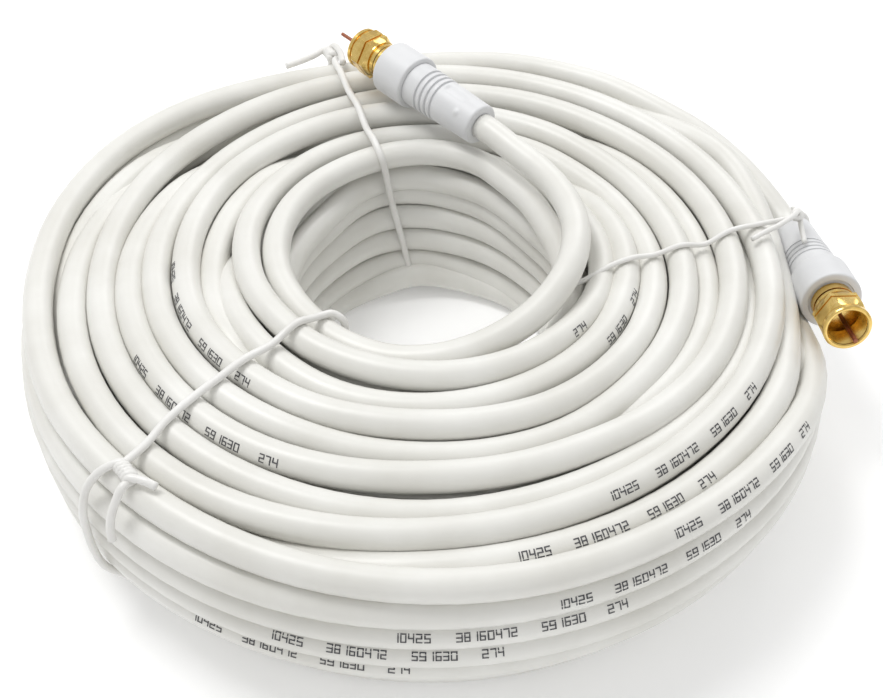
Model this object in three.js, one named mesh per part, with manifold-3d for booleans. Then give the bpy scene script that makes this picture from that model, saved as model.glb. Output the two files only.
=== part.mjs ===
// A coil of white coaxial cable with a moulded F plug on each end, held by three wire ties.
// Millimetres, +Z up. The coil lies flat on the floor and its axis starts out as the Z axis.

import * as THREE from "three";
import { mergeVertices } from "three/addons/utils/BufferGeometryUtils.js";
import Module from "manifold-3d";

// Cable and gaps
const cableRadius = 3.5;
const gap = 0.3;
const cableSides = 10;

// Section of the coil: the outline turns, as [radius from the axis, height]
const bottomHeight = 3.35;
const edgeBottomHeight = 3.55;
const bottomTurns = [[37.6, edgeBottomHeight], [44.2, bottomHeight], [50.8, bottomHeight], [57.4, bottomHeight],
  [64.0, bottomHeight], [70.6, bottomHeight], [77.2, bottomHeight], [83.6, edgeBottomHeight]];
const outerTurns = [[88.0, 4.9], [91.4, 10.4], [93.4, 16.4], [94.2, 22.7], [94.2, 29.0], [93.6, 35.2]];
const raisedHeight = 41.0;
const recessedHeight = 38.4;
const topHeight = Math.max(raisedHeight, recessedHeight);
const topTurns = [[92.4, raisedHeight], [86.3, recessedHeight], [80.2, raisedHeight],
  [74.1, recessedHeight], [68.0, raisedHeight], [61.9, recessedHeight], [55.8, raisedHeight],
  [49.7, recessedHeight], [43.6, raisedHeight]];
const boreTurns = [[37.8, 37.4], [38.8, 30.8], [39.2, 24.0], [38.8, 17.2], [38.2, 10.4]];
const notchDepth = 1.3;
const pointsOnTurn = 2;
const coilSegments = 48;

// Wire ties: the path round the coil's section, as [radius from the axis, height], from knot to knot
const tieRadius = 0.95;
const tieSides = 8;
const tieSteps = 64;
const tieStrandOffset = 1.25;
const tieOverAndUnder = [[80.0, topHeight + 5.0], [62.0, topHeight + 5.0], [45.0, topHeight + 4.9],
  [37.0, topHeight + 2.0], [33.4, topHeight - 2.4], [32.8, topHeight - 11.0], [32.8, 10.0], [33.6, 3.8],
  [37.0, 1.6], [50.0, 1.4], [70.0, 1.4], [86.0, 1.6], [92.0, 4.2], [96.4, 10.0], [98.8, 17.5]];
const tieLoop = [[96.6, topHeight + 5.3], [91.5, topHeight + 5.1], ...tieOverAndUnder, [99.2, topHeight - 15.0],
  [98.5, topHeight - 6.0], [97.6, topHeight], [98.6, topHeight + 3.4]];
const tieLoopRoundPlug = [[96.6, topHeight - 0.4], [92.4, topHeight + 0.8], [87.0, topHeight + 3.3],
  ...tieOverAndUnder, [100.8, topHeight - 17.0], [103.6, topHeight - 11.7], [104.0, topHeight - 6.5],
  [101.4, topHeight - 1.4], [99.4, topHeight + 1.2]];
const tieDent = 4.2;
const tieDentHeight = 8.0;
// Each tie has an azimuth in degrees and two tails, as [along the turns, radius from the axis, height]
const ties = [
  { name: "tie_rear", azimuth: 105, loop: tieLoop, topTail: [15.0, 97.0, topHeight + 5.2],
    outerTail: [-5.2, 99.6, topHeight + 6.6] },
  { name: "tie_front", azimuth: 225, loop: tieLoop, topTail: [9.6, 99.4, topHeight + 4.8],
    outerTail: [-7.4, 102.2, topHeight - 3.6] },
  { name: "tie_right", azimuth: 7.5, loop: tieLoopRoundPlug, topTail: [5.6, 98.0, topHeight + 3.6],
    outerTail: [-7.0, 99.4, topHeight + 4.2] },
];

// Plugs: sizes along the axis from the cable entry
const bootTailRadius = 5.5;
const bootWaistRadius = 6.1;
const bootLength = 24.5;
const collarRadius = 7.4;
const collarLength = 10.5;
const collarChamfer = 0.5;
const neckRadius = 5.1;
const neckLength = 2.2;
const spindleRadius = 3.3;
const flangeRadius = 4.1;
const flangeLength = 1.2;
const nutLength = 10.0;
const nutAcrossFlats = 11.0;
const nutShoulderLength = 2.4;
const nutShoulderBore = 3.65;
const nutThreadBore = 4.55;
const nutBoreSides = 24;
const conductorRadius = 0.51;
const conductorReach = 5.5;
const lathedSides = 28;

// Where each plug lies: the middle of its cable entry and the way it points
const plugA = { name: "plug_a", tail: [13.4, 45.5, topHeight + 9.9], towards: [-0.685, 0.727, 0.055] };
const plugB = { name: "plug_b", tail: [95.3, 25.2, topHeight - 10.6], towards: [0.032, -0.976, 0.216] };

// The two loose ends of the cable, as points along the middle of the cable; each ends in line with its plug
const endAPoints = [[-16.6, -25.2, topHeight - 3.4], [-8.0, -29.2, topHeight - 2.6], [2.6, -30.0, topHeight - 1.4],
  [14.8, -26.4, topHeight + 0.6], [24.6, -19.2, topHeight + 4.0], [31.0, -9.4, topHeight + 7.6],
  [33.4, 3.0, topHeight + 9.2], [31.8, 15.0, topHeight + 8.6], [27.6, 26.6, topHeight + 8.4],
  [21.6, 36.2, topHeight + 8.8]];
const endASteps = 30;
const endBPoints = [[43.4, 81.6, topHeight], [54.8, 75.4, topHeight - 0.4], [65.7, 68.0, topHeight - 1.4],
  [76.0, 59.3, topHeight - 3.4], [84.9, 49.0, topHeight - 6.4], [91.2, 38.6, topHeight - 9.4]];
const endBSteps = 24;
const endLead = 4.5;
const endBAzimuth = 62.6;
const channelRadius = cableRadius + 0.45;

// The bed that plug B presses into the outside of the coil
const bedRadius = collarRadius + 0.4;
const bedLength = 56.0;
const bedStart = -1.5;
const bedReach = 30;
const bedSides = 8;
const bedAzimuth = 6.0;

// Colours, roughness and metalness
const jacketLook = { color: 0xdcdcd6, roughness: 0.42, metalness: 0.0 };
const bootLook = { color: 0xe2e2e2, roughness: 0.5, metalness: 0.0 };
const tieLook = { color: 0xe9e9e6, roughness: 0.45, metalness: 0.0 };
const goldLook = { color: 0xd9a93a, roughness: 0.22, metalness: 1.0 };
const copperLook = { color: 0x7a3b2a, roughness: 0.35, metalness: 1.0 };

const wasm = await Module();
wasm.setup();

function point(list) {
  return new THREE.Vector3(list[0], list[1], list[2]);
}

function radians(degrees) {
  return degrees * Math.PI / 180;
}

function welded(geometry) {
  const copy = geometry.clone();
  copy.deleteAttribute("normal");
  copy.deleteAttribute("uv");
  return mergeVertices(copy, 0.0001);
}

function toManifold(geometry) {
  const clean = welded(geometry);
  return new wasm.Manifold(new wasm.Mesh({
    numProp: 3,
    vertProperties: Float32Array.from(clean.attributes.position.array),
    triVerts: Uint32Array.from(clean.index.array),
  }));
}

function fromManifold(solid) {
  const mesh = solid.getMesh();
  const geometry = new THREE.BufferGeometry();
  geometry.setAttribute("position", new THREE.BufferAttribute(new Float32Array(mesh.vertProperties), 3));
  geometry.setIndex(new THREE.BufferAttribute(new Uint32Array(mesh.triVerts), 1));
  return geometry;
}

function named(name, geometry, look) {
  const finished = geometry.index ? geometry : welded(geometry);
  finished.computeVertexNormals();
  const mesh = new THREE.Mesh(finished, new THREE.MeshStandardMaterial(look));
  mesh.name = name;
  return mesh;
}

// The dip between two turns: on the outer side of the line that joins their middles
function notch(from, to) {
  const along = to.clone().sub(from);
  const half = along.length() / 2;
  const depth = Math.max(Math.sqrt(Math.max(cableRadius ** 2 - half ** 2, 0)), notchDepth);
  const outward = new THREE.Vector2(along.y, -along.x).normalize();
  return from.clone().add(to).multiplyScalar(0.5).addScaledVector(outward, depth);
}

// The outline of the coil's section: an arc for each turn, between the dips to its neighbours
function coilOutline() {
  const turns = [...bottomTurns, ...outerTurns, ...topTurns, ...boreTurns].map(([r, z]) => new THREE.Vector2(r, z));
  const outline = [];
  turns.forEach((middle, i) => {
    const before = notch(turns[(i + turns.length - 1) % turns.length], middle);
    const after = notch(middle, turns[(i + 1) % turns.length]);
    const start = before.clone().sub(middle).angle();
    let sweep = after.clone().sub(middle).angle() - start;
    if (sweep < 0) {
      sweep += 2 * Math.PI;
    }
    outline.push(before);
    for (let k = 1; k <= pointsOnTurn; k += 1) {
      const angle = start + sweep * k / (pointsOnTurn + 1);
      outline.push(new THREE.Vector2(
        middle.x + cableRadius * Math.cos(angle),
        middle.y + cableRadius * Math.sin(angle),
      ));
    }
  });
  outline.push(outline[0].clone());
  return outline;
}

// The lowest turns lift where a tie passes under them
function dentUnderTies(geometry) {
  const position = geometry.attributes.position;
  const halfStep = Math.PI / coilSegments;
  for (let i = 0; i < position.count; i += 1) {
    const azimuth = Math.atan2(position.getY(i), position.getX(i));
    const height = position.getZ(i);
    const onTie = ties.some((tie) => {
      const away = Math.abs(azimuth - radians(tie.azimuth));
      return Math.min(away, Math.abs(away - 2 * Math.PI)) < halfStep;
    });
    if (onTie && height < tieDentHeight) {
      position.setZ(i, height + tieDent * (1 - height / tieDentHeight));
    }
  }
  return geometry;
}

// A frame whose Z axis is the plug's axis, with its X axis level and its Y axis down and outwards
function plugPlacement(plug) {
  const axis = point(plug.towards).normalize();
  const level = new THREE.Vector3(0, 0, 1).cross(axis).normalize();
  const across = axis.clone().cross(level);
  return new THREE.Matrix4().makeBasis(level, across, axis).setPosition(point(plug.tail));
}

// The room for plug B: round under the plug, and open upwards and away from the coil
function plugBed() {
  const shape = new THREE.Shape();
  shape.moveTo(bedReach, bedReach);
  shape.lineTo(-bedRadius, bedReach);
  shape.lineTo(-bedRadius, 0);
  for (let i = 1; i <= bedSides; i += 1) {
    const angle = Math.PI + Math.PI / 2 * i / bedSides;
    shape.lineTo(bedRadius * Math.cos(angle), bedRadius * Math.sin(angle));
  }
  shape.lineTo(bedReach, -bedRadius);
  const axis = point(plugB.towards).normalize();
  const out = axis.clone().cross(new THREE.Vector3(0, 0, 1)).normalize().negate();
  const up = axis.clone().cross(out);
  const placement = new THREE.Matrix4().makeBasis(out, up, axis);
  const start = point(plugB.tail).addScaledVector(axis, bedStart);
  return new THREE.ExtrudeGeometry(shape, { depth: bedLength, bevelEnabled: false })
    .applyMatrix4(placement.setPosition(start));
}

// The cut that frees the last part of the top outer turn, where the loose end B takes its place
function topOuterTurnCut() {
  const inner = topTurns[0][0] - cableRadius;
  const outer = inner + 4 * cableRadius;
  const shape = new THREE.Shape();
  const from = radians(bedAzimuth);
  const to = radians(endBAzimuth);
  shape.moveTo(inner * Math.cos(from), inner * Math.sin(from));
  shape.absarc(0, 0, outer, from, to, false);
  shape.absarc(0, 0, inner, to, from, true);
  return new THREE.ExtrudeGeometry(shape, { depth: 4 * cableRadius, bevelEnabled: false, curveSegments: 8 })
    .translate(0, 0, raisedHeight - cableRadius);
}

function cableCoil() {
  const ring = dentUnderTies(new THREE.LatheGeometry(coilOutline(), coilSegments).rotateX(Math.PI / 2));
  const channel = tube(loosePath(endBPoints, plugB), channelRadius, cableSides, endBSteps);
  const solid = toManifold(ring)
    .subtract(toManifold(plugBed()))
    .subtract(toManifold(topOuterTurnCut()))
    .subtract(toManifold(channel));
  return named("cable_coil", fromManifold(solid), jacketLook);
}

function tube(points, radius, sides, steps) {
  const shape = new THREE.Shape();
  for (let i = 0; i < sides; i += 1) {
    const angle = 2 * Math.PI * (i + 0.5) / sides;
    const corner = [radius * Math.cos(angle), radius * Math.sin(angle)];
    if (i === 0) {
      shape.moveTo(...corner);
    } else {
      shape.lineTo(...corner);
    }
  }
  const path = new THREE.CatmullRomCurve3(points, false, "centripetal");
  return new THREE.ExtrudeGeometry(shape, { steps, extrudePath: path });
}

// A loose end's points, with the last two in line with its plug
function loosePath(points, plug) {
  const axis = point(plug.towards).normalize();
  const lead = point(plug.tail).addScaledVector(axis, -endLead);
  const last = point(plug.tail).addScaledVector(axis, -gap);
  return [...points.map(point), lead, last];
}

function cableEnd(name, points, plug, steps) {
  return named(name, tube(loosePath(points, plug), cableRadius, cableSides, steps), jacketLook);
}

// A tie runs from its top tail, round the coil's section, to its outer tail
function tie({ name, azimuth, loop, topTail, outerTail }) {
  const turn = radians(azimuth);
  const place = (along, radius, height) => new THREE.Vector3(
    radius * Math.cos(turn) - along * Math.sin(turn),
    radius * Math.sin(turn) + along * Math.cos(turn),
    height,
  );
  const points = [place(...topTail)];
  loop.forEach(([radius, height], i) => {
    const offset = tieStrandOffset * (1 - 2 * i / (loop.length - 1));
    points.push(place(offset, radius, height));
  });
  points.push(place(...outerTail));
  return named(name, tube(points, tieRadius, tieSides, tieSteps), tieLook);
}

function lathed(profile, placement) {
  const points = profile.map(([radius, along]) => new THREE.Vector2(radius, along));
  return new THREE.LatheGeometry(points, lathedSides).rotateX(Math.PI / 2).applyMatrix4(placement);
}

function plugBoot(plug, placement) {
  const front = bootLength + collarLength;
  const profile = [[0, 0], [bootTailRadius, 0], [bootWaistRadius, bootLength], [collarRadius - collarChamfer, bootLength],
    [collarRadius, bootLength + collarChamfer], [collarRadius, front - collarChamfer],
    [collarRadius - collarChamfer, front], [0, front]];
  return named(`${plug.name}_boot`, lathed(profile, placement), bootLook);
}

// The plug's metal body: a neck against the collar, and a flange that holds the nut on
function plugBody(plug, placement) {
  const start = bootLength + collarLength + gap;
  const neckEnd = start + neckLength;
  const flangeStart = neckEnd + gap + nutShoulderLength + gap;
  const flangeEnd = flangeStart + flangeLength;
  const profile = [[0, start], [neckRadius, start], [neckRadius, neckEnd], [spindleRadius, neckEnd],
    [spindleRadius, flangeStart], [flangeRadius, flangeStart], [flangeRadius, flangeEnd], [0, flangeEnd]];
  return named(`${plug.name}_body`, lathed(profile, placement), goldLook);
}

function plugConductor(plug, placement) {
  const nutFront = bootLength + collarLength + gap + neckLength + gap + nutLength;
  const start = bootLength + collarLength + gap + neckLength + gap + nutShoulderLength + gap + flangeLength + gap;
  const profile = [[0, start], [conductorRadius, start], [conductorRadius, nutFront + conductorReach],
    [0, nutFront + conductorReach]];
  return named(`${plug.name}_conductor`, lathed(profile, placement), copperLook);
}

// The coupling nut: a hexagon with a narrow hole at the back and the wide threaded hole in front
function plugNut(plug, placement) {
  const start = bootLength + collarLength + gap + neckLength + gap;
  const hexagon = new THREE.Shape();
  const corner = nutAcrossFlats / 2 / Math.cos(Math.PI / 6);
  for (let i = 0; i < 6; i += 1) {
    const angle = Math.PI / 3 * i;
    const at = [corner * Math.cos(angle), corner * Math.sin(angle)];
    if (i === 0) {
      hexagon.moveTo(...at);
    } else {
      hexagon.lineTo(...at);
    }
  }
  const prism = new THREE.ExtrudeGeometry(hexagon, { depth: nutLength, bevelEnabled: false });
  const hole = new THREE.LatheGeometry([
    new THREE.Vector2(0, -1),
    new THREE.Vector2(nutShoulderBore, -1),
    new THREE.Vector2(nutShoulderBore, nutShoulderLength),
    new THREE.Vector2(nutThreadBore, nutShoulderLength),
    new THREE.Vector2(nutThreadBore, nutLength + 1),
    new THREE.Vector2(0, nutLength + 1),
  ], nutBoreSides).rotateX(Math.PI / 2);
  const solid = toManifold(prism).subtract(toManifold(hole));
  return named(`${plug.name}_nut`, fromManifold(solid).translate(0, 0, start).applyMatrix4(placement), goldLook);
}

function plugPieces(plug) {
  const placement = plugPlacement(plug);
  return [plugBoot(plug, placement), plugBody(plug, placement), plugNut(plug, placement),
    plugConductor(plug, placement)];
}

// The whole part stands with the middle of its base at the origin
function centred(group) {
  const box = new THREE.Box3().setFromObject(group);
  const middle = box.getCenter(new THREE.Vector3());
  group.children.forEach((mesh) => mesh.geometry.translate(-middle.x, -middle.y, -box.min.z));
  return group;
}

const group = new THREE.Group();
group.add(
  cableCoil(),
  cableEnd("cable_end_a", endAPoints, plugA, endASteps),
  cableEnd("cable_end_b", endBPoints, plugB, endBSteps),
  ...plugPieces(plugA),
  ...plugPieces(plugB),
  ...ties.map(tie),
);

export default centred(group);
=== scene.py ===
"""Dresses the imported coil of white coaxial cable: the cable itself, its two plugs and its three wire ties.

Sizes are in millimetres in the coil's own frame, whose Z axis is the coil's axis and whose floor is z = 0.
The azimuth is in degrees, counter-clockwise from +X as seen from above. The cable is wound clockwise.
"""
import math

import bpy
import numpy as np
from mathutils import Matrix, Vector


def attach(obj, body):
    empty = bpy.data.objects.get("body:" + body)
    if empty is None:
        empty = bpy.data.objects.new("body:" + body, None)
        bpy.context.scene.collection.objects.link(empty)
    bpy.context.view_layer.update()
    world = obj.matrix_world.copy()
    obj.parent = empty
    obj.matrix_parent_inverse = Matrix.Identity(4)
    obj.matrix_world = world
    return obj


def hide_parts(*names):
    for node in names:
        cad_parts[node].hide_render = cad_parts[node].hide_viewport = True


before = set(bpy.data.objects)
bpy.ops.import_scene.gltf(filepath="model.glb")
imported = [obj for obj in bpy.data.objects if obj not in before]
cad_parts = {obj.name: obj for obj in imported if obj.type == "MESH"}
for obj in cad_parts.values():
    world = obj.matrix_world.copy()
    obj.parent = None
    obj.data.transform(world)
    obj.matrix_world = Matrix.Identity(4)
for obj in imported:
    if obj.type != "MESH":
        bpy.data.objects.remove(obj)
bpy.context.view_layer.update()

# The coil's own frame in the row frame
MM = 0.001
ROW_SHIFT = Vector((-3.409, -0.449, -0.106))

# Camera: the photograph's place and angle
CAMERA_AT = (-0.000343, -0.230955, 0.238804)
CAMERA_TILT = 45.585
CAMERA_LENS = 50.93
CAMERA_SENSOR = 36.0

# Light, in metres and watts: (name, place, size, power)
LIGHTS = [
    ("key_light", (-0.3, 0.15, 0.8), 0.4, 3.2),
    ("rear_light", (0.25, 0.6, 0.6), 0.5, 1.6),
    ("fill_light", (0.6, -0.5, 0.4), 0.6, 0.3),
]
WORLD_STRENGTH = 0.66
FLOOR_REACH = 3.0
FLOOR_HEIGHT = -0.0003
FLOOR_GLOW = 0.16

# Cable
CABLE_RADIUS = 3.5
CABLE_SIDES = 14
RING_STEP = 3.75
GAP = 0.3
LEAD = 4.5
WANDER = 0.16

# Plugs: lengths, widths and bores as in the part's source. The thread and the bevel are drawn only here.
BOOT_LENGTH = 24.5
COLLAR_LENGTH = 10.5
NECK_LENGTH = 2.2
NUT_LENGTH = 10.0
NUT_ACROSS_FLATS = 11.0
NUT_SHOULDER = 2.4
NUT_SHOULDER_BORE = 3.65
NUT_THREAD_BORE = 4.55
THREAD_PITCH = 0.79
THREAD_DEPTH = 0.28
CONDUCTOR_RADIUS = 0.51
CONDUCTOR_SUNK = 6.9
CONDUCTOR_BEVEL = 0.1
TURNED_SIDES = 72
CONDUCTOR_SIDES = 24

# The boots' moulded detail; a side is an angle round the boot from its top, in radians
BOOT_TAIL_RADIUS = 5.5
BOOT_WAIST_RADIUS = 6.1
BOOT_BODY_RADIUS = 5.6
COLLAR_RADIUS = 7.4
GROOVES = 4
GROOVE_START = 13.4
GROOVE_PITCH = 1.9
GROOVE_RADIUS = 5.88
SLOT_START = 5.0
SLOT_END = 12.7
SLOT_SIDE = 0.1
SLOT_DEPTH = 0.45
PIP_AT = 5.2
PIP_SIDE = 0.92
PIP_RADIUS = 1.1
PIP_HEIGHT = 0.4

# The plugs: the middle of the boot's tail, the way the plug points, the wire's reach and the boot's roll
PLUGS = {
    "a": {"tail": (13.4, 45.5, 50.9), "towards": (-0.685, 0.727, 0.055), "wire": 8.6, "turned": 0.0},
    "b": {"tail": (95.3, 25.2, 30.4), "towards": (0.032, -0.976, 0.216), "wire": 5.5, "turned": math.pi},
}

# The loose ends, from the coil to each plug, as points on the middle of the cable
END_A = [(21.6, 36.2, 49.8), (28.6, 27.0, 49.4), (33.6, 15.4, 49.6), (35.3, 3.0, 50.0), (32.8, -9.4, 48.6),
         (25.6, -19.4, 45.0), (14.8, -26.4, 41.6), (2.6, -30.0, 39.6), (-8.0, -29.2, 38.4),
         (-16.6, -25.2, 37.6)]
END_B = [(65.7, 68.0, 39.6), (76.0, 59.3, 37.6), (84.9, 49.0, 34.6), (91.2, 38.6, 31.6)]

# The winding, as (azimuth, radius, height). Each list runs clockwise and joins the next.
INNERMOST = [(225, 30.8, 37.6), (210, 31.6, 37.8), (195, 33.7, 38.2), (180, 36.5, 39.2), (165, 39.1, 40.2),
             (150, 41.4, 40.8), (135, 43.6, 41.0), (120, 45.5, 41.0), (105, 47.2, 41.0), (90, 47.8, 40.8),
             (75, 45.8, 40.4), (60, 40.8, 40.0), (45, 37.2, 39.8), (30, 34.4, 39.6), (15, 33.4, 39.2),
             (0, 33.8, 38.4), (345, 34.8, 37.2), (330, 36.0, 35.4), (315, 36.8, 34.4), (285, 36.8, 34.0)]
TOP_EIGHTH = [(60, 51.0, 32.5), (45, 49.6, 36.2), (30, 48.6, 39.4), (15, 48.3, 40.6), (0, 47.9, 40.9),
              (345, 47.2, 41.0), (330, 46.6, 40.6), (315, 45.9, 40.0), (300, 45.2, 39.4), (285, 44.7, 38.9),
              (270, 44.5, 38.6), (240, 45.4, 38.8), (225, 45.9, 39.2), (210, 46.7, 39.4), (195, 48.0, 38.8),
              (180, 49.0, 37.0), (165, 48.8, 32.5)]
TOP_SLIVER_INNER = [(240, 51.5, 32.5), (225, 50.8, 35.0), (210, 50.8, 37.4), (195, 51.9, 38.4),
                    (180, 52.8, 38.6), (165, 54.2, 38.6), (150, 56.3, 38.2), (135, 58.8, 36.8),
                    (120, 61.0, 32.5)]
TOP_MIDDLE = [(85, 53.0, 34.6), (75, 51.4, 35.6), (60, 47.2, 37.0), (45, 44.6, 38.6), (30, 43.4, 39.8),
              (15, 42.7, 40.2), (0, 42.0, 40.5), (345, 41.0, 40.8), (330, 39.9, 41.0), (300, 38.3, 41.0),
              (270, 37.2, 41.0), (240, 37.2, 41.0), (225, 38.0, 41.0), (210, 39.0, 41.0), (195, 41.2, 41.0),
              (180, 44.0, 41.0), (165, 47.0, 41.0), (150, 50.0, 40.4), (135, 53.0, 39.6), (120, 55.6, 39.4),
              (105, 57.2, 39.0), (90, 57.4, 38.8), (75, 57.2, 39.0), (60, 56.2, 39.4), (45, 54.4, 39.8),
              (30, 54.3, 39.6), (0, 54.2, 39.8), (345, 54.1, 40.5), (330, 54.1, 41.0), (300, 53.2, 41.0),
              (285, 52.2, 41.0), (270, 51.7, 41.0), (240, 53.1, 41.0), (225, 54.0, 41.0), (210, 55.7, 41.0),
              (195, 57.7, 41.0), (180, 59.2, 41.0), (165, 61.0, 41.0), (150, 62.9, 41.0), (135, 64.4, 41.0),
              (120, 65.8, 41.0), (105, 66.4, 41.0), (90, 65.6, 41.0), (75, 64.8, 41.0), (60, 64.0, 41.0),
              (45, 62.5, 41.0), (30, 61.7, 41.0), (345, 61.1, 41.0), (330, 60.7, 40.6), (315, 60.0, 39.6),
              (300, 59.6, 38.6), (285, 59.0, 38.3), (270, 58.7, 38.3), (255, 59.3, 38.8), (240, 60.6, 40.2),
              (225, 62.0, 41.0), (210, 63.2, 41.0), (195, 64.7, 41.0), (180, 66.0, 41.0), (165, 67.7, 40.2),
              (150, 69.6, 39.4), (135, 72.0, 39.0), (120, 74.2, 39.0), (105, 75.6, 39.4), (90, 75.9, 40.4),
              (75, 75.8, 41.0), (45, 74.8, 41.0), (15, 74.1, 41.0), (345, 72.5, 41.0), (330, 71.3, 41.0),
              (315, 69.3, 41.0), (300, 67.2, 41.0), (285, 66.5, 41.0), (270, 66.2, 41.0), (255, 67.1, 41.0),
              (240, 68.2, 41.0), (225, 69.2, 41.0), (210, 70.1, 41.0), (195, 71.2, 41.0), (180, 72.3, 40.4),
              (165, 73.2, 39.2), (150, 74.4, 37.2), (138, 76.0, 33.0)]
TOP_SLIVER_OUTER = [(75, 70.0, 32.0), (60, 69.2, 35.0), (45, 68.4, 37.6), (30, 67.9, 38.5), (15, 67.5, 38.6),
                    (345, 66.6, 38.6), (330, 65.5, 38.4), (315, 63.8, 37.2), (300, 63.0, 34.0)]
TOP_OUTER = [(30, 78.0, 32.0), (15, 77.9, 34.4), (0, 77.6, 36.2), (345, 76.8, 37.4), (330, 75.8, 38.0),
             (315, 74.6, 38.2), (300, 73.6, 38.4), (285, 73.5, 38.5), (270, 74.2, 38.7), (255, 75.2, 39.4),
             (240, 76.1, 40.4), (225, 76.8, 41.0), (210, 77.2, 41.0), (195, 77.9, 41.0), (180, 78.8, 41.0),
             (165, 80.0, 41.0), (150, 81.2, 41.0), (135, 82.0, 41.0), (120, 83.2, 41.0), (105, 84.2, 41.0),
             (75, 85.0, 41.0), (60, 84.6, 41.0), (45, 84.2, 40.8), (30, 83.4, 40.8), (15, 82.3, 41.0),
             (0, 81.7, 41.0), (345, 81.0, 41.0), (330, 80.3, 41.0), (315, 79.6, 41.0), (300, 79.5, 41.0),
             (285, 80.0, 41.0), (270, 80.9, 41.0), (255, 82.4, 41.0), (240, 83.7, 41.0), (225, 84.2, 41.0),
             (210, 84.3, 41.0), (195, 84.6, 40.8), (180, 85.1, 40.0), (165, 85.7, 38.2), (150, 86.0, 35.4),
             (135, 86.6, 34.0), (105, 87.6, 33.8), (75, 88.6, 34.6), (60, 89.8, 35.8), (45, 91.0, 38.0),
             (30, 91.4, 39.8), (22, 90.0, 38.0), (14, 88.2, 35.8), (6, 86.6, 34.6), (358, 86.0, 34.8),
             (347, 85.9, 36.2), (335, 87.3, 38.0), (320, 87.0, 38.7), (300, 86.5, 38.8), (285, 86.5, 38.8),
             (270, 86.8, 38.2), (255, 87.0, 36.4), (240, 87.2, 34.6), (210, 88.0, 34.4), (195, 88.3, 35.2),
             (180, 88.7, 36.4), (165, 89.2, 37.6), (150, 89.0, 37.4), (135, 88.4, 34.0)]
OUTERMOST = [(20, 90.0, 31.0), (5, 88.4, 28.4), (355, 89.6, 29.2), (345, 92.4, 32.0), (335, 93.5, 35.2),
             (325, 93.3, 38.2), (312, 93.4, 40.5), (298, 93.2, 41.0), (285, 93.2, 41.0), (270, 92.7, 41.0),
             (255, 92.1, 41.0), (240, 91.5, 41.0), (225, 91.4, 41.0), (210, 91.9, 41.0), (195, 92.2, 41.0),
             (180, 93.5, 41.0), (165, 95.5, 41.0), (150, 96.4, 41.0), (135, 94.8, 41.0), (120, 91.2, 41.0),
             (107, 89.4, 41.0), (90, 91.8, 41.0), (75, 94.4, 41.0), (60, 94.8, 40.9)]

# The turns that lie under the top ones: columns from the bore outwards, as (radius, lowest and highest turn)
BORE_TURNS = [(37.2, 30.6), (38.0, 24.2), (38.4, 18.0), (38.2, 11.4), (38.0, 3.75)]
HIDDEN_COLUMNS = [(44.0, 6.6, 32.6), (49.8, 3.75, 31.4), (55.4, 6.4, 32.4), (61.2, 3.75, 31.4),
                  (66.8, 6.4, 32.4), (72.4, 3.75, 31.4), (78.0, 6.4, 32.4), (83.4, 3.75, 31.4)]
COLUMN_PITCH = 7.95
COLUMN_LEAN = 0.075
OUTER_TURNS = [(87.6, 4.6), (90.9, 10.2), (94.0, 16.2), (95.0, 22.4), (95.0, 28.6), (94.2, 34.8)]

# How the winding's columns are stepped, in degrees, and where the outer column starts and stops
HIDDEN_STEP = 36
BORE_STEP = 30
OUTER_STEP = 18
OUTER_START = (240, 271)
OUTER_APPROACH = 20
OUTER_LAST_STEPS = 14

# Where the turns stand further out at the rear, by height, and where plug B presses them in
REAR_BULGE_AT = 97.0
REAR_BULGE_WIDTH = 33.0
REAR_BULGE = [(3.5, 3.2), (10.0, 4.6), (16.0, 6.0), (22.0, 8.4), (28.0, 12.0), (34.0, 11.4), (60.0, 11.4)]
PRESS_AT = 3.0
PRESS_WIDTH = 19.0
PRESS_IN = 7.6
PRESS_DOWN = 4.6
PRESS_HEIGHTS = (15.0, 30.0)

# Wire ties
TIE_SIDES = 10
TIE_STEP = 0.8
TIE_TWIST = 2.1
TIE_LOWEST = 0.15

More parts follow.
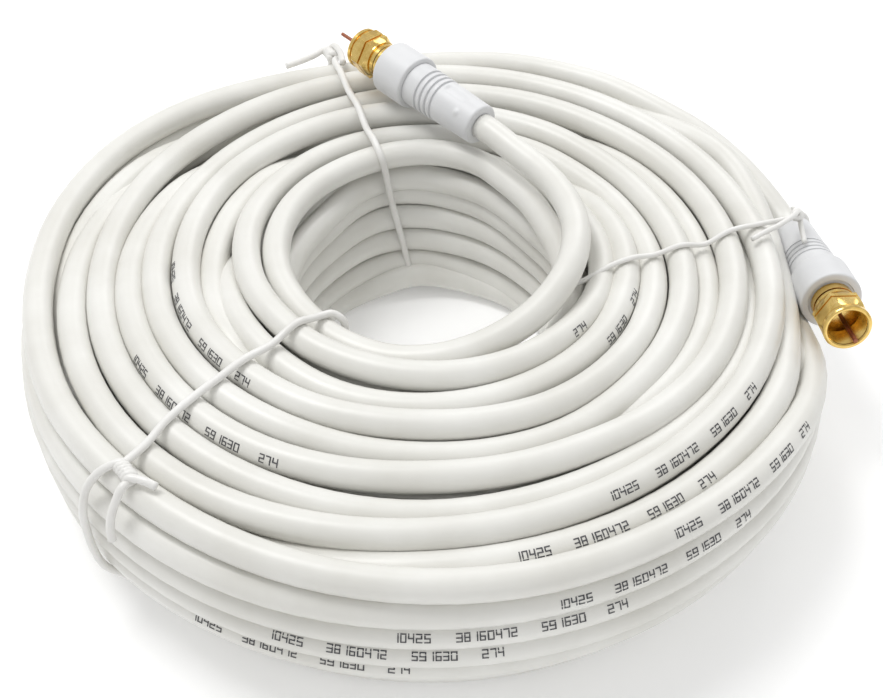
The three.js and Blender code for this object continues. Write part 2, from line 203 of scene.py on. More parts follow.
# Each tie's frame is at an azimuth. A place in it is (along the turns, radius, height).
TIES = {
    "tie_rear": {
        "azimuth": 107.8,
        "radius": 0.95,
        "over": [(0.1, 90.6, 45.5), (0.1, 84.2, 45.6), (0.0, 75.5, 44.5), (-0.1, 66.4, 45.6),
                 (0.0, 57.2, 44.2), (0.1, 47.4, 45.6), (-0.4, 43.6, 43.6), (-1.2, 42.6, 39.0),
                 (-2.4, 42.4, 30.0), (-3.8, 41.4, 22.0), (-5.0, 39.4, 14.0), (-5.8, 37.8, 8.0),
                 (-6.0, 37.0, 4.0), (-6.0, 38.4, 1.5)],
        "knot": [(0.0, 93.4, 45.0), (0.3, 97.4, 44.4)],
        "tails": [[(1.8, 98.4, 44.6), (4.8, 97.2, 44.2), (9.5, 95.9, 43.8), (13.6, 95.0, 43.6)],
                  [(-1.0, 97.6, 46.0), (-1.9, 93.6, 46.9), (-1.8, 89.4, 46.8), (-1.4, 86.8, 46.6)]],
        "outside": [(0.0, 96.8, 41.0), (0.0, 98.8, 34.0), (0.0, 99.7, 28.0), (0.0, 99.7, 22.0),
                    (0.0, 98.7, 16.0), (0.0, 95.6, 10.0), (0.0, 92.2, 4.6)],
    },
    "tie_front": {
        "azimuth": 224.5,
        "radius": 0.9,
        "over": [(4.4, 89.6, 45.8), (3.2, 84.2, 45.5), (0.6, 76.8, 45.5), (-0.8, 69.4, 45.5),
                 (-1.6, 62.0, 45.5), (-2.3, 54.0, 45.5), (-2.8, 46.0, 44.3), (-3.2, 38.2, 45.5),
                 (-3.6, 33.8, 43.6), (-4.0, 30.4, 42.1), (-3.6, 27.8, 41.3), (-2.0, 26.2, 39.4),
                 (-0.8, 26.6, 35.4), (-0.4, 29.6, 31.6), (-0.2, 32.8, 27.0), (0.0, 33.6, 18.0),
                 (0.0, 33.4, 10.0), (0.0, 33.8, 3.8), (0.0, 36.6, 1.4)],
        "knot": [(4.9, 91.0, 45.9), (8.8, 91.4, 45.8)],
        "tails": [[(10.4, 90.8, 46.4), (12.4, 89.8, 46.3), (14.2, 89.0, 45.7)],
                  [(9.4, 93.6, 45.8), (9.8, 96.2, 43.4), (10.8, 98.9, 39.8), (11.8, 99.9, 36.2)]],
        "outside": [(2.4, 93.6, 45.2), (1.0, 97.0, 42.0), (0.4, 99.4, 36.0), (0.2, 100.0, 29.0),
                    (0.4, 99.9, 22.0), (0.6, 98.9, 16.0), (0.8, 95.7, 10.0), (0.6, 92.3, 4.6)],
    },
    "tie_right": {
        "azimuth": 8.0,
        "radius": 0.66,
        "over": [(2.0, 92.2, 44.6), (0.8, 89.4, 45.2), (-0.2, 82.2, 45.2), (-1.8, 74.0, 45.2),
                 (-4.1, 67.4, 43.7), (-5.4, 61.0, 45.2), (-6.8, 54.2, 44.2), (-8.4, 47.9, 45.2),
                 (-9.8, 42.2, 44.5), (-11.2, 37.6, 43.0), (-11.7, 34.2, 41.6), (-11.4, 31.0, 40.0),
                 (-11.0, 30.2, 36.6), (-10.4, 31.8, 31.6), (-9.4, 33.6, 26.0), (-8.4, 34.2, 18.0),
                 (-7.4, 34.0, 10.0), (-6.6, 34.2, 3.8), (-6.2, 36.6, 1.2)],
        "knot": [(2.9, 93.2, 43.8), (6.0, 95.6, 41.6)],
        "tails": [[(5.4, 95.4, 42.6), (2.4, 94.4, 42.2), (-0.8, 93.9, 41.6), (-3.7, 93.6, 40.8)],
                  [(5.4, 94.6, 43.6), (1.0, 91.6, 46.2), (-3.0, 86.0, 46.6), (-4.8, 81.6, 46.2),
                   (-6.2, 78.4, 45.8)]],
        "outside": [(9.4, 96.4, 40.6), (13.4, 97.2, 38.0), (15.4, 99.4, 35.6), (15.4, 102.6, 32.6),
                    (14.2, 103.4, 28.6), (10.8, 101.6, 23.0), (6.0, 99.6, 17.0), (2.0, 95.9, 10.4),
                    (0.4, 92.3, 4.6)],
    },
}
TIE_UNDER = [(50.0, 1.12), (70.0, 1.12), (84.0, 1.16), (89.0, 1.9)]
TIE_LIFT = 2.25
TIE_LIFT_WIDTH = 9.0
TIE_LIFT_TOP = 12.0

# Plain numbers on the cable, as (azimuth, radius, height, roll towards the coil's middle, text)
PRINT_LINE = "10425   38160472   591630   274"
PRINT_END = "591630   274"
MARKS = [
    (297, 80, 41, -45, PRINT_LINE),
    (282, 86.5, 39, -32, PRINT_LINE),
    (299, 93, 41, -46, PRINT_LINE),
    (284, 94, 34.5, -62, PRINT_LINE),
    (266, 95, 28.5, -56, PRINT_LINE),
    (251, 95, 22.5, -54, PRINT_LINE),
    (239, 94, 16.5, -58, PRINT_LINE),
    (181, 59, 41, -55, PRINT_LINE),
    (208, 70, 41, -57, PRINT_LINE),
    (325, 46.5, 40.5, -58, PRINT_END),
    (321, 39.5, 41, -52, "274"),
]

# Digits as strokes between the corners of a box one wide and one high, and their sizes
DIGIT_STROKES = {
    "0": "abcdef", "1": "bc", "2": "abged", "3": "abgcd", "4": "fgbc",
    "5": "afgcd", "6": "afgedc", "7": "abc", "8": "abcdefg", "9": "abcdfg",
}
STROKE_ENDS = {
    "a": ((0, 1), (1, 1)), "b": ((1, 1), (1, 0.5)), "c": ((1, 0.5), (1, 0)), "d": ((0, 0), (1, 0)),
    "e": ((0, 0.5), (0, 0)), "f": ((0, 1), (0, 0.5)), "g": ((0, 0.5), (1, 0.5)),
}
DIGIT_WIDTH = 0.95
DIGIT_HEIGHT = 1.7
DIGIT_PITCH = 1.5
STROKE_WIDTH = 0.27
INK_RISE = 0.03


# Geometry helpers

def to_row(p):
    """A point of the coil's frame, in millimetres, as a point of the row frame in metres."""
    return (Vector(p) + ROW_SHIFT) * MM


def polar(azimuth, radius, height):
    angle = math.radians(azimuth)
    return (radius * math.cos(angle), radius * math.sin(angle), height)


def between(table, x):
    """The value at x of a table of (x, value), with straight lines between its rows."""
    return float(np.interp(x, [row[0] for row in table], [row[1] for row in table]))


def smooth_step(x, low, high):
    t = min(max((x - low) / (high - low), 0.0), 1.0)
    return t * t * (3 - 2 * t)


def spline(keys, values, at):
    """A smooth curve through the values at the unevenly spaced keys, read at the places in at."""
    keys = np.asarray(keys, float)
    values = np.asarray(values, float)
    slopes = np.gradient(values, keys, axis=0)
    i = np.clip(np.searchsorted(keys, at, side="right") - 1, 0, len(keys) - 2)
    width = keys[i + 1] - keys[i]
    t = (at - keys[i]) / width
    if values.ndim > 1:
        t = t[:, None]
        width = width[:, None]
    h00 = 2 * t**3 - 3 * t**2 + 1
    h10 = t**3 - 2 * t**2 + t
    h01 = -2 * t**3 + 3 * t**2
    h11 = t**3 - t**2
    return h00 * values[i] + h10 * width * slopes[i] + h01 * values[i + 1] + h11 * width * slopes[i + 1]


def through(points, step):
    """Points every step or so along a smooth curve through the given points."""
    points = np.asarray(points, float)
    keys = np.concatenate([[0], np.cumsum(np.linalg.norm(np.diff(points, axis=0), axis=1))])
    count = max(int(keys[-1] / step), 2)
    return spline(keys, points, np.linspace(0, keys[-1], count + 1))


def tube_mesh(name, centres, radius, sides):
    """A closed tube round the centres, whose rings don't twist."""
    centres = np.asarray(centres, float)
    count = len(centres)
    tangents = np.gradient(centres, axis=0)
    tangents /= np.linalg.norm(tangents, axis=1)[:, None]
    normal = np.cross(tangents[0], (0.0, 0.0, 1.0))
    if np.linalg.norm(normal) < 0.1:
        normal = np.cross(tangents[0], (1.0, 0.0, 0.0))
    angles = np.arange(sides) * 2 * math.pi / sides
    vertices = np.empty((count, sides, 3))
    for k in range(count):
        normal = normal - tangents[k] * normal.dot(tangents[k])
        normal /= np.linalg.norm(normal)
        across = np.cross(tangents[k], normal)
        ring = np.outer(np.cos(angles), normal) + np.outer(np.sin(angles), across)
        vertices[k] = centres[k] + radius * ring
    faces = []
    for k in range(count - 1):
        for s in range(sides):
            n = (s + 1) % sides
            faces.append((k * sides + s, k * sides + n, (k + 1) * sides + n, (k + 1) * sides + s))
    flat = vertices.reshape(-1, 3)
    faces.append(tuple(reversed(range(sides))))
    faces.append(tuple((count - 1) * sides + s for s in range(sides)))
    return mesh_object(name, flat, faces)


def mesh_object(name, vertices, faces, smooth=True):
    """A mesh object from vertices in the coil's frame."""
    mesh = bpy.data.meshes.new(name)
    mesh.from_pydata([to_row(v) for v in vertices], [], faces)
    mesh.validate()
    mesh.update()
    mesh.polygons.foreach_set("use_smooth", [smooth] * len(mesh.polygons))
    obj = bpy.data.objects.new(name, mesh)
    bpy.context.scene.collection.objects.link(obj)
    return obj


def sharpen(obj, degrees=32):
    """Marks the edges that meet at more than this angle as sharp, so that smooth shading stops there."""
    mesh = obj.data
    mesh.set_sharp_from_angle(angle=math.radians(degrees))
    return obj


def plug_placement(plug):
    """A frame whose Z axis is the plug's axis, with its X axis level, as in the part's source."""
    axis = Vector(plug["towards"]).normalized()
    level = Vector((0, 0, 1)).cross(axis).normalized()
    across = axis.cross(level)
    placement = Matrix((level, across, axis)).transposed().to_4x4()
    placement.translation = Vector(plug["tail"])
    return placement


# Materials

def new_material(name):
    material = bpy.data.materials.new(name)
    material.use_nodes = True
    nodes = material.node_tree.nodes
    return material, nodes, material.node_tree.links, nodes["Principled BSDF"]


def noise_node(nodes, links, coordinates, scale, detail, roughness=0.55):
    node = nodes.new("ShaderNodeTexNoise")
    node.inputs["Scale"].default_value = scale
    node.inputs["Detail"].default_value = detail
    node.inputs["Roughness"].default_value = roughness
    links.new(coordinates, node.inputs["Vector"])
    return node.outputs["Fac"]


def ramp_node(nodes, links, value, stops):
    node = nodes.new("ShaderNodeValToRGB")
    ramp = node.color_ramp
    while len(ramp.elements) < len(stops):
        ramp.elements.new(0.5)
    for element, (place, colour) in zip(ramp.elements, stops):
        element.position = place
        element.color = (*colour, 1.0)
    links.new(value, node.inputs["Fac"])
    return node.outputs["Color"]


def range_node(nodes, links, value, low, high):
    node = nodes.new("ShaderNodeMapRange")
    node.inputs["To Min"].default_value = low
    node.inputs["To Max"].default_value = high
    links.new(value, node.inputs["Value"])
    return node.outputs["Result"]


def bump_node(nodes, links, height, strength, distance):
    node = nodes.new("ShaderNodeBump")
    node.inputs["Strength"].default_value = strength
    node.inputs["Distance"].default_value = distance
    links.new(height, node.inputs["Height"])
    return node.outputs["Normal"]


def plastic(name, light, dark, roughness, cloud_scale, grain_scale, grain, sheen_spread=0.08):
    """A moulded or extruded plastic: soft clouds of colour, a fine grain and uneven gloss."""
    material, nodes, links, shader = new_material(name)
    where = nodes.new("ShaderNodeTexCoord").outputs["Object"]
    clouds = noise_node(nodes, links, where, cloud_scale, 4)
    colour = ramp_node(nodes, links, clouds, [(0.3, dark), (0.68, light)])
    links.new(colour, shader.inputs["Base Color"])
    gloss = noise_node(nodes, links, where, cloud_scale * 6, 3)
    links.new(range_node(nodes, links, gloss, roughness - sheen_spread, roughness + sheen_spread),
              shader.inputs["Roughness"])
    fine = noise_node(nodes, links, where, grain_scale, 5)
    links.new(bump_node(nodes, links, fine, grain, 0.00012), shader.inputs["Normal"])
    shader.inputs["IOR"].default_value = 1.5
    return material


def metal(name, light, dark, roughness, scratch_scale):
    """A turned and plated metal: slight tarnish and fine scratches."""
    material, nodes, links, shader = new_material(name)
    where = nodes.new("ShaderNodeTexCoord").outputs["Object"]
    stain = noise_node(nodes, links, where, 260, 5, 0.65)
    colour = ramp_node(nodes, links, stain, [(0.32, dark), (0.6, light)])
    links.new(colour, shader.inputs["Base Color"])
    shader.inputs["Metallic"].default_value = 1.0
    rub = noise_node(nodes, links, where, 900, 3)
    links.new(range_node(nodes, links, rub, roughness * 0.7, roughness * 1.5), shader.inputs["Roughness"])
    scratch = noise_node(nodes, links, where, scratch_scale, 4, 0.7)
    links.new(bump_node(nodes, links, scratch, 0.05, 0.00003), shader.inputs["Normal"])
    return material


def ink(name, colour):
    """Printed ink, a little worn."""
    material, nodes, links, shader = new_material(name)
    where = nodes.new("ShaderNodeTexCoord").outputs["Object"]
    worn = noise_node(nodes, links, where, 1800, 3)
    shade = ramp_node(nodes, links, worn, [(0.35, colour), (0.75, tuple(c * 1.9 for c in colour))])
    links.new(shade, shader.inputs["Base Color"])
    shader.inputs["Roughness"].default_value = 0.55
    return material


JACKET = plastic("white_pvc_jacket", (0.80, 0.795, 0.76), (0.70, 0.69, 0.645), 0.36, 38, 1500, 0.16)
BOOT = plastic("white_moulded_boot", (0.72, 0.725, 0.735), (0.66, 0.665, 0.675), 0.42, 60, 2600, 0.2)
TIE = plastic("white_coated_wire", (0.84, 0.835, 0.815), (0.76, 0.75, 0.72), 0.34, 90, 2200, 0.14)
GOLD = metal("gold_plated_brass", (0.88, 0.64, 0.23), (0.7, 0.46, 0.12), 0.17, 2400)
COPPER = metal("copper_conductor", (0.42, 0.17, 0.10), (0.25, 0.09, 0.06), 0.3, 3000)
INK = ink("grey_print", (0.055, 0.055, 0.06))


def dress(obj, material):
    obj.data.materials.clear()
    obj.data.materials.append(material)
    return obj


# Camera and light

def add_camera():
    data = bpy.data.cameras.new("camera")
    data.sensor_width = CAMERA_SENSOR
    data.lens = CAMERA_LENS
    data.clip_start = 0.01
    camera = bpy.data.objects.new("camera", data)
    camera.location = CAMERA_AT
    camera.rotation_euler = (math.radians(CAMERA_TILT), 0, 0)
    bpy.context.scene.collection.objects.link(camera)
    bpy.context.scene.camera = camera


def add_light(name, at, size, power):
    data = bpy.data.lights.new(name, "AREA")
    data.shape = "DISK"
    data.size = size
    data.energy = power
    lamp = bpy.data.objects.new(name, data)
    lamp.location = at
    lamp.rotation_euler = (-Vector(at)).to_track_quat("-Z", "Y").to_euler()
    bpy.context.scene.collection.objects.link(lamp)


def add_studio():
    world = bpy.data.worlds.new("studio")
    world.use_nodes = True
    background = world.node_tree.nodes["Background"]
    background.inputs["Color"].default_value = (1.0, 1.0, 1.0, 1.0)
    background.inputs["Strength"].default_value = WORLD_STRENGTH
    bpy.context.scene.world = world
    bpy.context.scene.view_settings.view_transform = "Standard"
    for light in LIGHTS:
        add_light(*light)
    mesh = bpy.data.meshes.new("floor")
    signs = ((-1, -1), (1, -1), (1, 1), (-1, 1))
    corners = [(x * FLOOR_REACH, y * FLOOR_REACH, FLOOR_HEIGHT) for x, y in signs]
    mesh.from_pydata(corners, [], [(0, 1, 2, 3)])
    floor = bpy.data.objects.new("floor", mesh)
    bpy.context.scene.collection.objects.link(floor)
    material, nodes, links, shader = new_material("pale_floor")
    shader.inputs["Base Color"].default_value = (0.93, 0.93, 0.93, 1.0)
    shader.inputs["Roughness"].default_value = 0.9
    shader.inputs["Emission Color"].default_value = (1.0, 1.0, 1.0, 1.0)
    shader.inputs["Emission Strength"].default_value = FLOOR_GLOW
    dress(floor, material)


# The cable

class Winding:
    """Collects the winding as (angle turned, radius, height), with the angle counted clockwise."""

    def __init__(self, azimuth):
        self.first = azimuth
        self.rows = []

    def azimuth(self):
        return (self.first - self.rows[-1][0]) % 360

    def add(self, azimuth, radius, height, at_least=1.0):
        if not self.rows:
            self.rows.append((0.0, radius, height))
            return
        turned = (self.azimuth() - azimuth) % 360
        if turned < at_least:
            turned += 360
        self.rows.append((self.rows[-1][0] + turned, radius, height))

    def follow(self, stretch, at_least=1.0):
        for k, row in enumerate(stretch):
            self.add(*row, at_least=at_least if k == 0 else 1.0)

    def points(self):
        rows = np.array(self.rows)
        count = int(rows[-1, 0] / RING_STEP)
        turned = np.linspace(0, rows[-1, 0], count + 1)
        radius = spline(rows[:, 0], rows[:, 1], turned)
        height = spline(rows[:, 0], rows[:, 2], turned)
        wave = np.radians(turned)
        radius = radius + WANDER * (np.sin(wave * 2.37) + 0.6 * np.sin(wave * 5.13 + 1.0))
        height = height + 0.5 * WANDER * np.sin(wave * 3.71 + 2.0)
        angle = np.radians(self.first - turned)
        return np.stack([radius * np.cos(angle), radius * np.sin(angle), height], axis=1)


def lifted_over_ties(points):
    """The lowest turns rise a little where a tie runs under them."""
    lifted = points.copy()
    for facts in TIES.values():
        place = tie_frame(facts["azimuth"])
        inner = np.array(place(facts["over"][-1][0], TIE_UNDER[0][0], 0.0)[:2])
        outer = np.array(place(0.0, TIE_UNDER[-1][0], 0.0)[:2])
        along = (outer - inner) / np.linalg.norm(outer - inner)
        offset = points[:, :2] - inner
        away = offset[:, 0] * along[1] - offset[:, 1] * along[0]
        ahead = offset @ along
        near = np.exp(-(away / TIE_LIFT_WIDTH) ** 2) * (ahead > -20)
        low = np.clip((TIE_LIFT_TOP - points[:, 2]) / (TIE_LIFT_TOP - CABLE_RADIUS), 0, 1)
        lifted[:, 2] += TIE_LIFT * near * low
    return lifted


def rear_bulge(azimuth, height):
    away = (azimuth - REAR_BULGE_AT + 180) % 360 - 180
    return between(REAR_BULGE, height) * math.exp(-(away / REAR_BULGE_WIDTH) ** 2)


def pressed(azimuth, radius, height):
    """The outer turns give way where plug B presses into the side of the coil."""
    away = (azimuth - PRESS_AT + 180) % 360 - 180
    amount = math.exp(-(away / PRESS_WIDTH) ** 2) * smooth_step(height, *PRESS_HEIGHTS)
    return radius - PRESS_IN * amount, height - PRESS_DOWN * amount


def flat_turn(winding, radius, height):
    """One level turn from where the winding is, after a short step across."""
    start = winding.azimuth() - HIDDEN_STEP
    for k in range(360 // HIDDEN_STEP - 1):
        azimuth = (start - k * HIDDEN_STEP) % 360
        winding.add(azimuth, radius, height)


def column_turns(winding, index, column, rising):
    """A column of hidden turns as a steep winding between its lowest and highest turn."""
    radius, low, high = column
    share = 1 - (index + 1) / (len(HIDDEN_COLUMNS) + 2)
    start = winding.azimuth() - HIDDEN_STEP
    turns = (high - low) / COLUMN_PITCH
    steps = int(turns * (360 // HIDDEN_STEP))
    if rising:
        flat_turn(winding, radius, low)
    for k in range(steps + 1):
        azimuth = (start - k * HIDDEN_STEP) % 360
        part = k / steps if rising else 1 - k / steps
        height = low + (high - low) * part
        lean = COLUMN_LEAN * (height - low)
        winding.add(azimuth, radius + lean + share * rear_bulge(azimuth, height), height)
    if not rising:
        flat_turn(winding, radius, low)


def bore_column(winding):
    """The turns that line the bore, from the top one down."""
    start = winding.azimuth()
    turns = [(winding.rows[-1][1], winding.rows[-1][2])] + BORE_TURNS
    heights = [turn[1] for turn in turns]
    radii = [turn[0] for turn in turns]
    steps = 360 // BORE_STEP
    for k in range(1, steps * (len(turns) - 1) + 1):
        azimuth = (start - BORE_STEP * k) % 360
        height = np.interp(k / steps, range(len(turns)), heights)
        radius = np.interp(k / steps, range(len(turns)), radii)
        winding.add(azimuth, radius + rear_bulge(azimuth, height), height)
    flat_turn(winding, BORE_TURNS[-1][0], BORE_TURNS[-1][1])


def outer_column(winding):
    """The turns that show on the outside, from the lowest one up to the start of the outermost top turn."""
    flat_turn(winding, *OUTER_TURNS[0])
    while not OUTER_START[0] <= winding.azimuth() <= OUTER_START[1]:
        winding.add((winding.azimuth() - OUTER_APPROACH) % 360, *OUTER_TURNS[0])
    rows = len(OUTER_TURNS)
    start = winding.azimuth()
    steps = 360 // OUTER_STEP
    for k in range(1, steps * (rows - 1) + OUTER_LAST_STEPS):
        azimuth = (start - OUTER_STEP * k) % 360
        level = k / steps
        radius = np.interp(level, range(rows), [turn[0] for turn in OUTER_TURNS])
        height = np.interp(level, range(rows), [turn[1] for turn in OUTER_TURNS])
        winding.add(azimuth, *pressed(azimuth, radius, height))


def wind_coil():
    winding = Winding(INNERMOST[0][0])
    winding.follow(INNERMOST)
    bore_column(winding)
    column_turns(winding, 0, HIDDEN_COLUMNS[0], True)
    winding.follow(TOP_EIGHTH, 20)
    column_turns(winding, 1, HIDDEN_COLUMNS[1], False)
    column_turns(winding, 2, HIDDEN_COLUMNS[2], True)
    winding.follow(TOP_SLIVER_INNER, 20)
    winding.follow(TOP_MIDDLE, 20)
    column_turns(winding, 3, HIDDEN_COLUMNS[3], False)
    column_turns(winding, 4, HIDDEN_COLUMNS[4], True)
    winding.follow(TOP_SLIVER_OUTER, 20)
    column_turns(winding, 5, HIDDEN_COLUMNS[5], False)
    column_turns(winding, 6, HIDDEN_COLUMNS[6], True)
    winding.follow(TOP_OUTER, 20)
    column_turns(winding, 7, HIDDEN_COLUMNS[7], False)
    outer_column(winding)
    winding.follow(OUTERMOST)
    return winding.points()


def plug_leads(plug):
    """The last two points of the cable before a plug, in line with it."""
    tail = Vector(plug["tail"])
    axis = Vector(plug["towards"]).normalized()
    return [tail - axis * GAP, tail - axis * LEAD]


def cable_points():
    """The middle of the whole cable, from plug A to plug B."""
    coil = wind_coil()
    joined = 4
    start = [tuple(p) for p in plug_leads(PLUGS["a"])] + END_A + [tuple(p) for p in coil[:joined]]
    leads = [tuple(p) for p in reversed(plug_leads(PLUGS["b"]))]
    end = [tuple(p) for p in coil[-joined:]] + END_B + leads
    points = np.concatenate([through(start, 2.6)[:-1], coil[joined:-joined], through(end, 2.6)])
    return lifted_over_ties(points)


def add_cable(body):
    points = cable_points()
    length = float(np.linalg.norm(np.diff(points, axis=0), axis=1).sum()) * MM
    cable = dress(tube_mesh("coaxial_cable", points, CABLE_RADIUS, CABLE_SIDES), JACKET)
    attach(cable, body)
    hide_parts("cable_coil", "cable_end_a", "cable_end_b")
    return cable, points, length


# Plugs

def lathed(name, profile, placement, sides):
    """A turned piece from (along the axis, radius) rows that start and end on the axis."""
    vertices = []
    faces = []
    index = []
    for along, radius in profile:
        if radius == 0:
            index.append([len(vertices)] * sides)
            vertices.append(placement @ Vector((0, 0, along)))
            continue
        index.append([len(vertices) + s for s in range(sides)])
        for s in range(sides):
            angle = 2 * math.pi * s / sides
            vertices.append(placement @ Vector((radius * math.cos(angle), radius * math.sin(angle), along)))
    for lower, upper in zip(index, index[1:]):
        for s in range(sides):
            n = (s + 1) % sides
            corners = [lower[s], lower[n], upper[n], upper[s]]
            face = [c for i, c in enumerate(corners) if c != corners[i - 1]]
            if len(face) > 2:
                faces.append(face)
    return mesh_object(name, vertices, faces)


def boot_profile():
    """The moulded boot: a tail step, a smooth body with four fine grooves, and the collar."""
    front = BOOT_LENGTH + COLLAR_LENGTH
    rows = [(0, 0), (0, 4.9), (0.15, 5.3), (0.5, BOOT_TAIL_RADIUS), (3.5, 5.58), (9.0, 5.74), (13.0, 5.85)]
    for k in range(GROOVES):
        at = GROOVE_START + GROOVE_PITCH * k
        radius = GROOVE_RADIUS + 0.05 * k
        rows += [(at, radius), (at + 0.1, radius - 0.45), (at + 0.7, radius - 0.5), (at + 0.8, radius + 0.08),
                 (at + 1.0, radius + 0.14), (at + GROOVE_PITCH - 0.3, radius + 0.1)]
    rows += [(21.6, 6.08), (24.3, BOOT_WAIST_RADIUS), (24.34, 5.95), (24.48, 5.95)]
    rows += [(BOOT_LENGTH, 6.9), (24.6, 7.2), (24.85, 7.36), (25.2, COLLAR_RADIUS), (28.0, COLLAR_RADIUS),
             (31.0, COLLAR_RADIUS), (34.3, COLLAR_RADIUS), (34.7, 7.34), (34.92, 7.16), (front, 6.9)]
    rows += [(front, 5.7), (front - 0.3, 5.5), (front - 0.3, 0)]
    return rows


def boot_relief(along, side):
    """How far the boot's body stands out here: a shallow slot and a small plain pip."""
    ends = smooth_step(along, SLOT_START, SLOT_START + 0.8)
    ends *= 1 - smooth_step(along, SLOT_END - 0.5, SLOT_END)
    slot = ends * (1 - smooth_step(abs(side - SLOT_SIDE), 0.1, 0.22))
    from_pip = math.hypot(along - PIP_AT, (side - PIP_SIDE) * BOOT_BODY_RADIUS)
    pip = 1 - smooth_step(from_pip, 0.4, PIP_RADIUS)
    return PIP_HEIGHT * pip - SLOT_DEPTH * slot


def boot_panel(obj, placement, turned):
    """Presses the slot into the boot's body and raises the pip. turned is how far the boot is rolled."""
    inverse = placement.inverted()
    for vertex in obj.data.vertices:
        local = inverse @ (vertex.co / MM - ROW_SHIFT)
        radius = math.hypot(local.x, local.y)
        side = math.atan2(local.x, local.y) - turned
        relief = boot_relief(local.z, math.remainder(side, 2 * math.pi))
        if radius > 4.0 and abs(relief) > 0.001:
            local.x *= (radius + relief) / radius
            local.y *= (radius + relief) / radius
            vertex.co = (placement @ local + ROW_SHIFT) * MM


def fine_boot_rows(rows):
    """Adds rows along the smooth body, so that the panel has a clean edge."""
    finer = []
    for (along, radius), (next_along, next_radius) in zip(rows, rows[1:]):
        finer.append((along, radius))
        gap = next_along - along
        if gap > 0.7 and radius > 1:
            count = int(gap / 0.4)
            for k in range(1, count):
                share = k / count
                finer.append((along + gap * share, radius + (next_radius - radius) * share))
    finer.append(rows[-1])
    return finer


def add_boot(key, body):
    placement = plug_placement(PLUGS[key])
    boot = lathed(f"plug_{key}_boot_moulded", fine_boot_rows(boot_profile()), placement, TURNED_SIDES)
    boot_panel(boot, placement, PLUGS[key]["turned"])
    boot.data.update()
    sharpen(dress(boot, BOOT), 50)
    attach(boot, body)
    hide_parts(f"plug_{key}_boot")
    return boot


def hex_radius(angle, flats):
    """How far a hexagon's side is from its axis in this direction; a corner lies at angle 0."""
    step = math.pi / 3
    inside = (angle % step) - step / 2
    return flats / 2 / math.cos(inside)


def nut_rows():
    """The coupling nut from back to front and back through its bore, as (along, radius, depth in the hexagon).

    A row with None is round. The others follow the hexagon, whose corners are cut off at their radius.
    """
    corner = NUT_ACROSS_FLATS / 2 / math.cos(math.pi / 6)
    outside = [(0.0, 4.6, None), (0.1, 4.95, None), (1.2, 4.95, None), (1.3, 4.7, None), (1.7, 4.7, None),
               (1.8, 5.2, None), (2.2, 5.3, None), (3.0, corner, 0.0), (4.3, corner, 0.0), (4.4, corner, 0.5),
               (4.8, corner, 0.5), (4.9, corner, 0.0), (7.6, corner, 0.0), (8.3, 5.55, 0.0), (8.4, 5.3, None),
               (8.6, 5.3, None), (8.7, 5.7, None), (9.6, 5.7, None), (9.85, 5.55, None), (10.0, 5.25, None)]
    inside = [(10.0, 4.85), (9.7, 4.58)]
    along = NUT_LENGTH - 0.6
    while along > NUT_SHOULDER + THREAD_PITCH:
        inside += [(along, NUT_THREAD_BORE), (along - THREAD_PITCH / 2, NUT_THREAD_BORE - THREAD_DEPTH)]
        along -= THREAD_PITCH
    inside += [(NUT_SHOULDER, NUT_THREAD_BORE), (NUT_SHOULDER, NUT_SHOULDER_BORE), (0.0, NUT_SHOULDER_BORE)]
    return outside + [(along, radius, None) for along, radius in inside]


def add_nut(key, body):
    placement = plug_placement(PLUGS[key])
    start = BOOT_LENGTH + COLLAR_LENGTH + GAP + NECK_LENGTH + GAP
    rows = nut_rows()
    vertices = []
    faces = []
    for along, radius, sunk in rows:
        for s in range(TURNED_SIDES):
            angle = 2 * math.pi * s / TURNED_SIDES
            reach = radius if sunk is None else min(radius, hex_radius(angle, NUT_ACROSS_FLATS)) - sunk
            vertices.append(placement @ Vector((reach * math.cos(angle), reach * math.sin(angle),
                                                start + along)))
    for k in range(len(rows)):
        lower = k * TURNED_SIDES
        upper = (k + 1) % len(rows) * TURNED_SIDES
        for s in range(TURNED_SIDES):
            n = (s + 1) % TURNED_SIDES
            faces.append((lower + s, lower + n, upper + n, upper + s))
    nut = mesh_object(f"plug_{key}_nut_turned", vertices, faces)
    sharpen(dress(nut, GOLD), 20)
    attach(nut, body)
    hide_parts(f"plug_{key}_nut")
    return nut


def add_conductor(key, body):
    """The bare centre conductor, cut off square, that stands out of the nut."""
    placement = plug_placement(PLUGS[key])
    start = BOOT_LENGTH + COLLAR_LENGTH + CONDUCTOR_SUNK
    tip = BOOT_LENGTH + COLLAR_LENGTH + 2 * GAP + NECK_LENGTH + NUT_LENGTH + PLUGS[key]["wire"]
    rows = [(start, 0), (start, CONDUCTOR_RADIUS), (tip - CONDUCTOR_BEVEL, CONDUCTOR_RADIUS),
            (tip, CONDUCTOR_RADIUS - CONDUCTOR_BEVEL), (tip, 0)]
    wire = lathed(f"plug_{key}_conductor_wire", rows, placement, CONDUCTOR_SIDES)
    sharpen(dress(wire, COPPER))
    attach(wire, body)
    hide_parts(f"plug_{key}_conductor")
    return wire


# Wire ties

def tie_frame(azimuth):
    """Places (along the turns, radius, height) points at an azimuth."""
    turn = math.radians(azimuth)

    def place(along, radius, height):
        return (radius * math.cos(turn) - along * math.sin(turn),
                radius * math.sin(turn) + along * math.cos(turn), height)
    return place


def twist(first, second, turns, step):
    """Two strands round a common middle line from first to second."""
    first = np.array(first, float)
    second = np.array(second, float)
    axis = (second - first) / np.linalg.norm(second - first)
    side = np.cross(axis, (0.0, 0.0, 1.0))
    side /= np.linalg.norm(side)
    up = np.cross(side, axis)
    count = max(int(turns * 12), 4)
    strands = []
    for half in (0, math.pi):
        strand = []
        for k in range(count + 1):
            angle = 2 * math.pi * turns * k / count + half
            middle = first + (second - first) * k / count
            strand.append(middle + step * (math.cos(angle) * side + math.sin(angle) * up))
        strands.append(strand)
    return strands


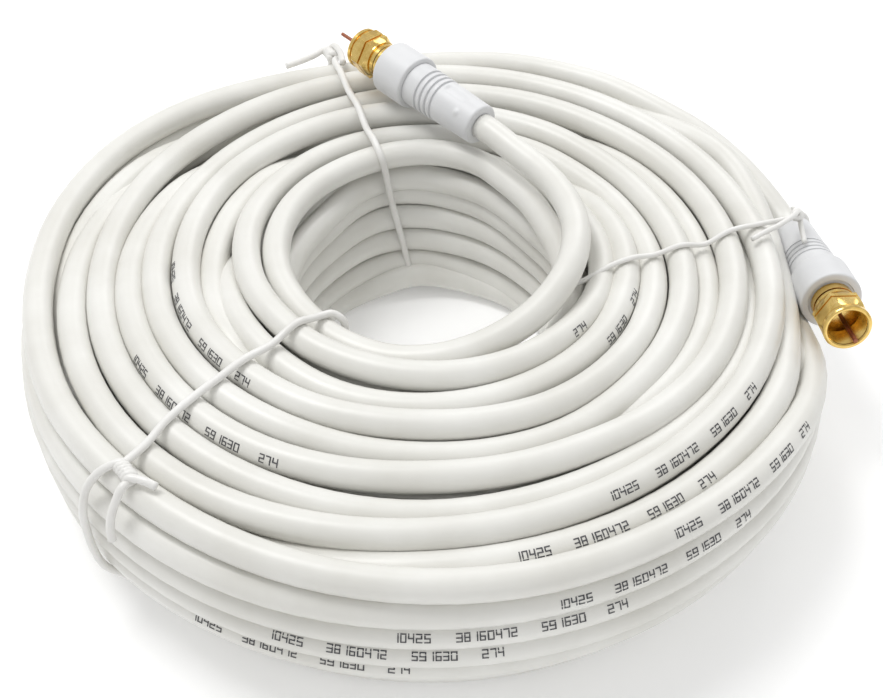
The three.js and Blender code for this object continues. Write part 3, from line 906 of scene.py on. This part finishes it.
def add_tie(name, body):
    """A tie is one wire: a tail, the knot's first strand, the loop, its second strand and the other tail."""
    facts = TIES[name]
    place = tie_frame(facts["azimuth"])
    loop = [place(*p) for p in facts["over"]]
    first = facts["over"][-1][0]
    for k, (radius, height) in enumerate(TIE_UNDER):
        loop.append(place(first * (1 - (k + 1) / len(TIE_UNDER)), radius, height))
    loop += [place(*p) for p in reversed(facts["outside"])]
    knot_start, knot_end = (place(*p) for p in facts["knot"])
    strand_one, strand_two = twist(knot_start, knot_end, TIE_TWIST, facts["radius"] * 1.04)
    tail_one, tail_two = ([place(*p) for p in tail] for tail in facts["tails"])
    route = list(reversed(tail_one)) + list(reversed(strand_one)) + loop + strand_two + tail_two
    route = [tuple(p) for p in route]
    line = through(route, TIE_STEP)
    line[:, 2] = np.maximum(line[:, 2], facts["radius"] + TIE_LOWEST)
    wire = dress(tube_mesh(f"{name}_wire", line, facts["radius"], TIE_SIDES), TIE)
    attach(wire, body)
    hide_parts(name)
    return wire


# Printed marks: plain numbers along the cable

def text_strokes(text):
    """The strokes of a line of digits as ((along, up), (along, up)) pairs, in millimetres."""
    strokes = []
    for place, letter in enumerate(text):
        for stroke in DIGIT_STROKES.get(letter, ""):
            (x0, y0), (x1, y1) = STROKE_ENDS[stroke]
            strokes.append(((place * DIGIT_PITCH + x0 * DIGIT_WIDTH, (y0 - 0.5) * DIGIT_HEIGHT),
                            (place * DIGIT_PITCH + x1 * DIGIT_WIDTH, (y1 - 0.5) * DIGIT_HEIGHT)))
    return strokes


def station(points, target):
    """The index of the cable point nearest to a target point."""
    return int(np.argmin(((points - np.array(target)) ** 2).sum(axis=1)))


class CableFace:
    """Turns (along, up) places on the cable's surface, along it against the winding, into points."""

    def __init__(self, points, start, roll):
        self.points = points[start:start - 60:-1]
        steps = np.linalg.norm(np.diff(self.points, axis=0), axis=1)
        self.lengths = np.concatenate([[0], np.cumsum(steps)])
        self.roll = math.radians(roll)

    def at(self, along, up):
        middle = np.array([np.interp(along, self.lengths, self.points[:, k]) for k in range(3)])
        ahead = np.array([np.interp(along + 1.0, self.lengths, self.points[:, k]) for k in range(3)])
        tangent = (ahead - middle) / np.linalg.norm(ahead - middle)
        left = np.cross((0.0, 0.0, 1.0), tangent)
        left /= np.linalg.norm(left)
        top = np.cross(tangent, left)
        angle = self.roll + up / CABLE_RADIUS
        facing = math.cos(angle) * top + math.sin(angle) * left
        return middle + (CABLE_RADIUS + INK_RISE) * facing


def add_marks(points, marks, body):
    """Each mark is (azimuth, radius, height, roll, text): a line of digits on the cable's surface."""
    vertices = []
    faces = []
    for azimuth, radius, height, roll, text in marks:
        face = CableFace(points, station(points, polar(azimuth, radius, height)), roll)
        for (x0, y0), (x1, y1) in text_strokes(text):
            length = math.hypot(x1 - x0, y1 - y0)
            across = (-(y1 - y0) / length * STROKE_WIDTH / 2, (x1 - x0) / length * STROKE_WIDTH / 2)
            reach = STROKE_WIDTH / 2 / length
            parts = max(int(length / 0.45), 1)
            first = len(vertices)
            for k in range(parts + 1):
                share = -reach + (1 + 2 * reach) * k / parts
                x = x0 + (x1 - x0) * share
                y = y0 + (y1 - y0) * share
                vertices.append(face.at(x + across[0], y + across[1]))
                vertices.append(face.at(x - across[0], y - across[1]))
            for k in range(parts):
                a = first + 2 * k
                faces.append((a, a + 1, a + 3, a + 2))
    print_mesh = dress(mesh_object("printed_numbers", vertices, faces, smooth=False), INK)
    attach(print_mesh, body)
    return print_mesh


# The scene

add_camera()
cable, cable_line, cable_length = add_cable("coil")
print("cable length, metres:", round(cable_length, 3), "rings:", len(cable_line))
add_marks(cable_line, MARKS, "coil")
add_studio()

for plug_key in PLUGS:
    add_boot(plug_key, "coil")
    add_nut(plug_key, f"nut_{plug_key}")
    dress(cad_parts[f"plug_{plug_key}_body"], GOLD)
    add_conductor(plug_key, "coil")

for tie_name in TIES:
    add_tie(tie_name, "coil")

to_row(plug_leads(PLUGS["a"])[0])
[to_row(p) for p in cable_line]
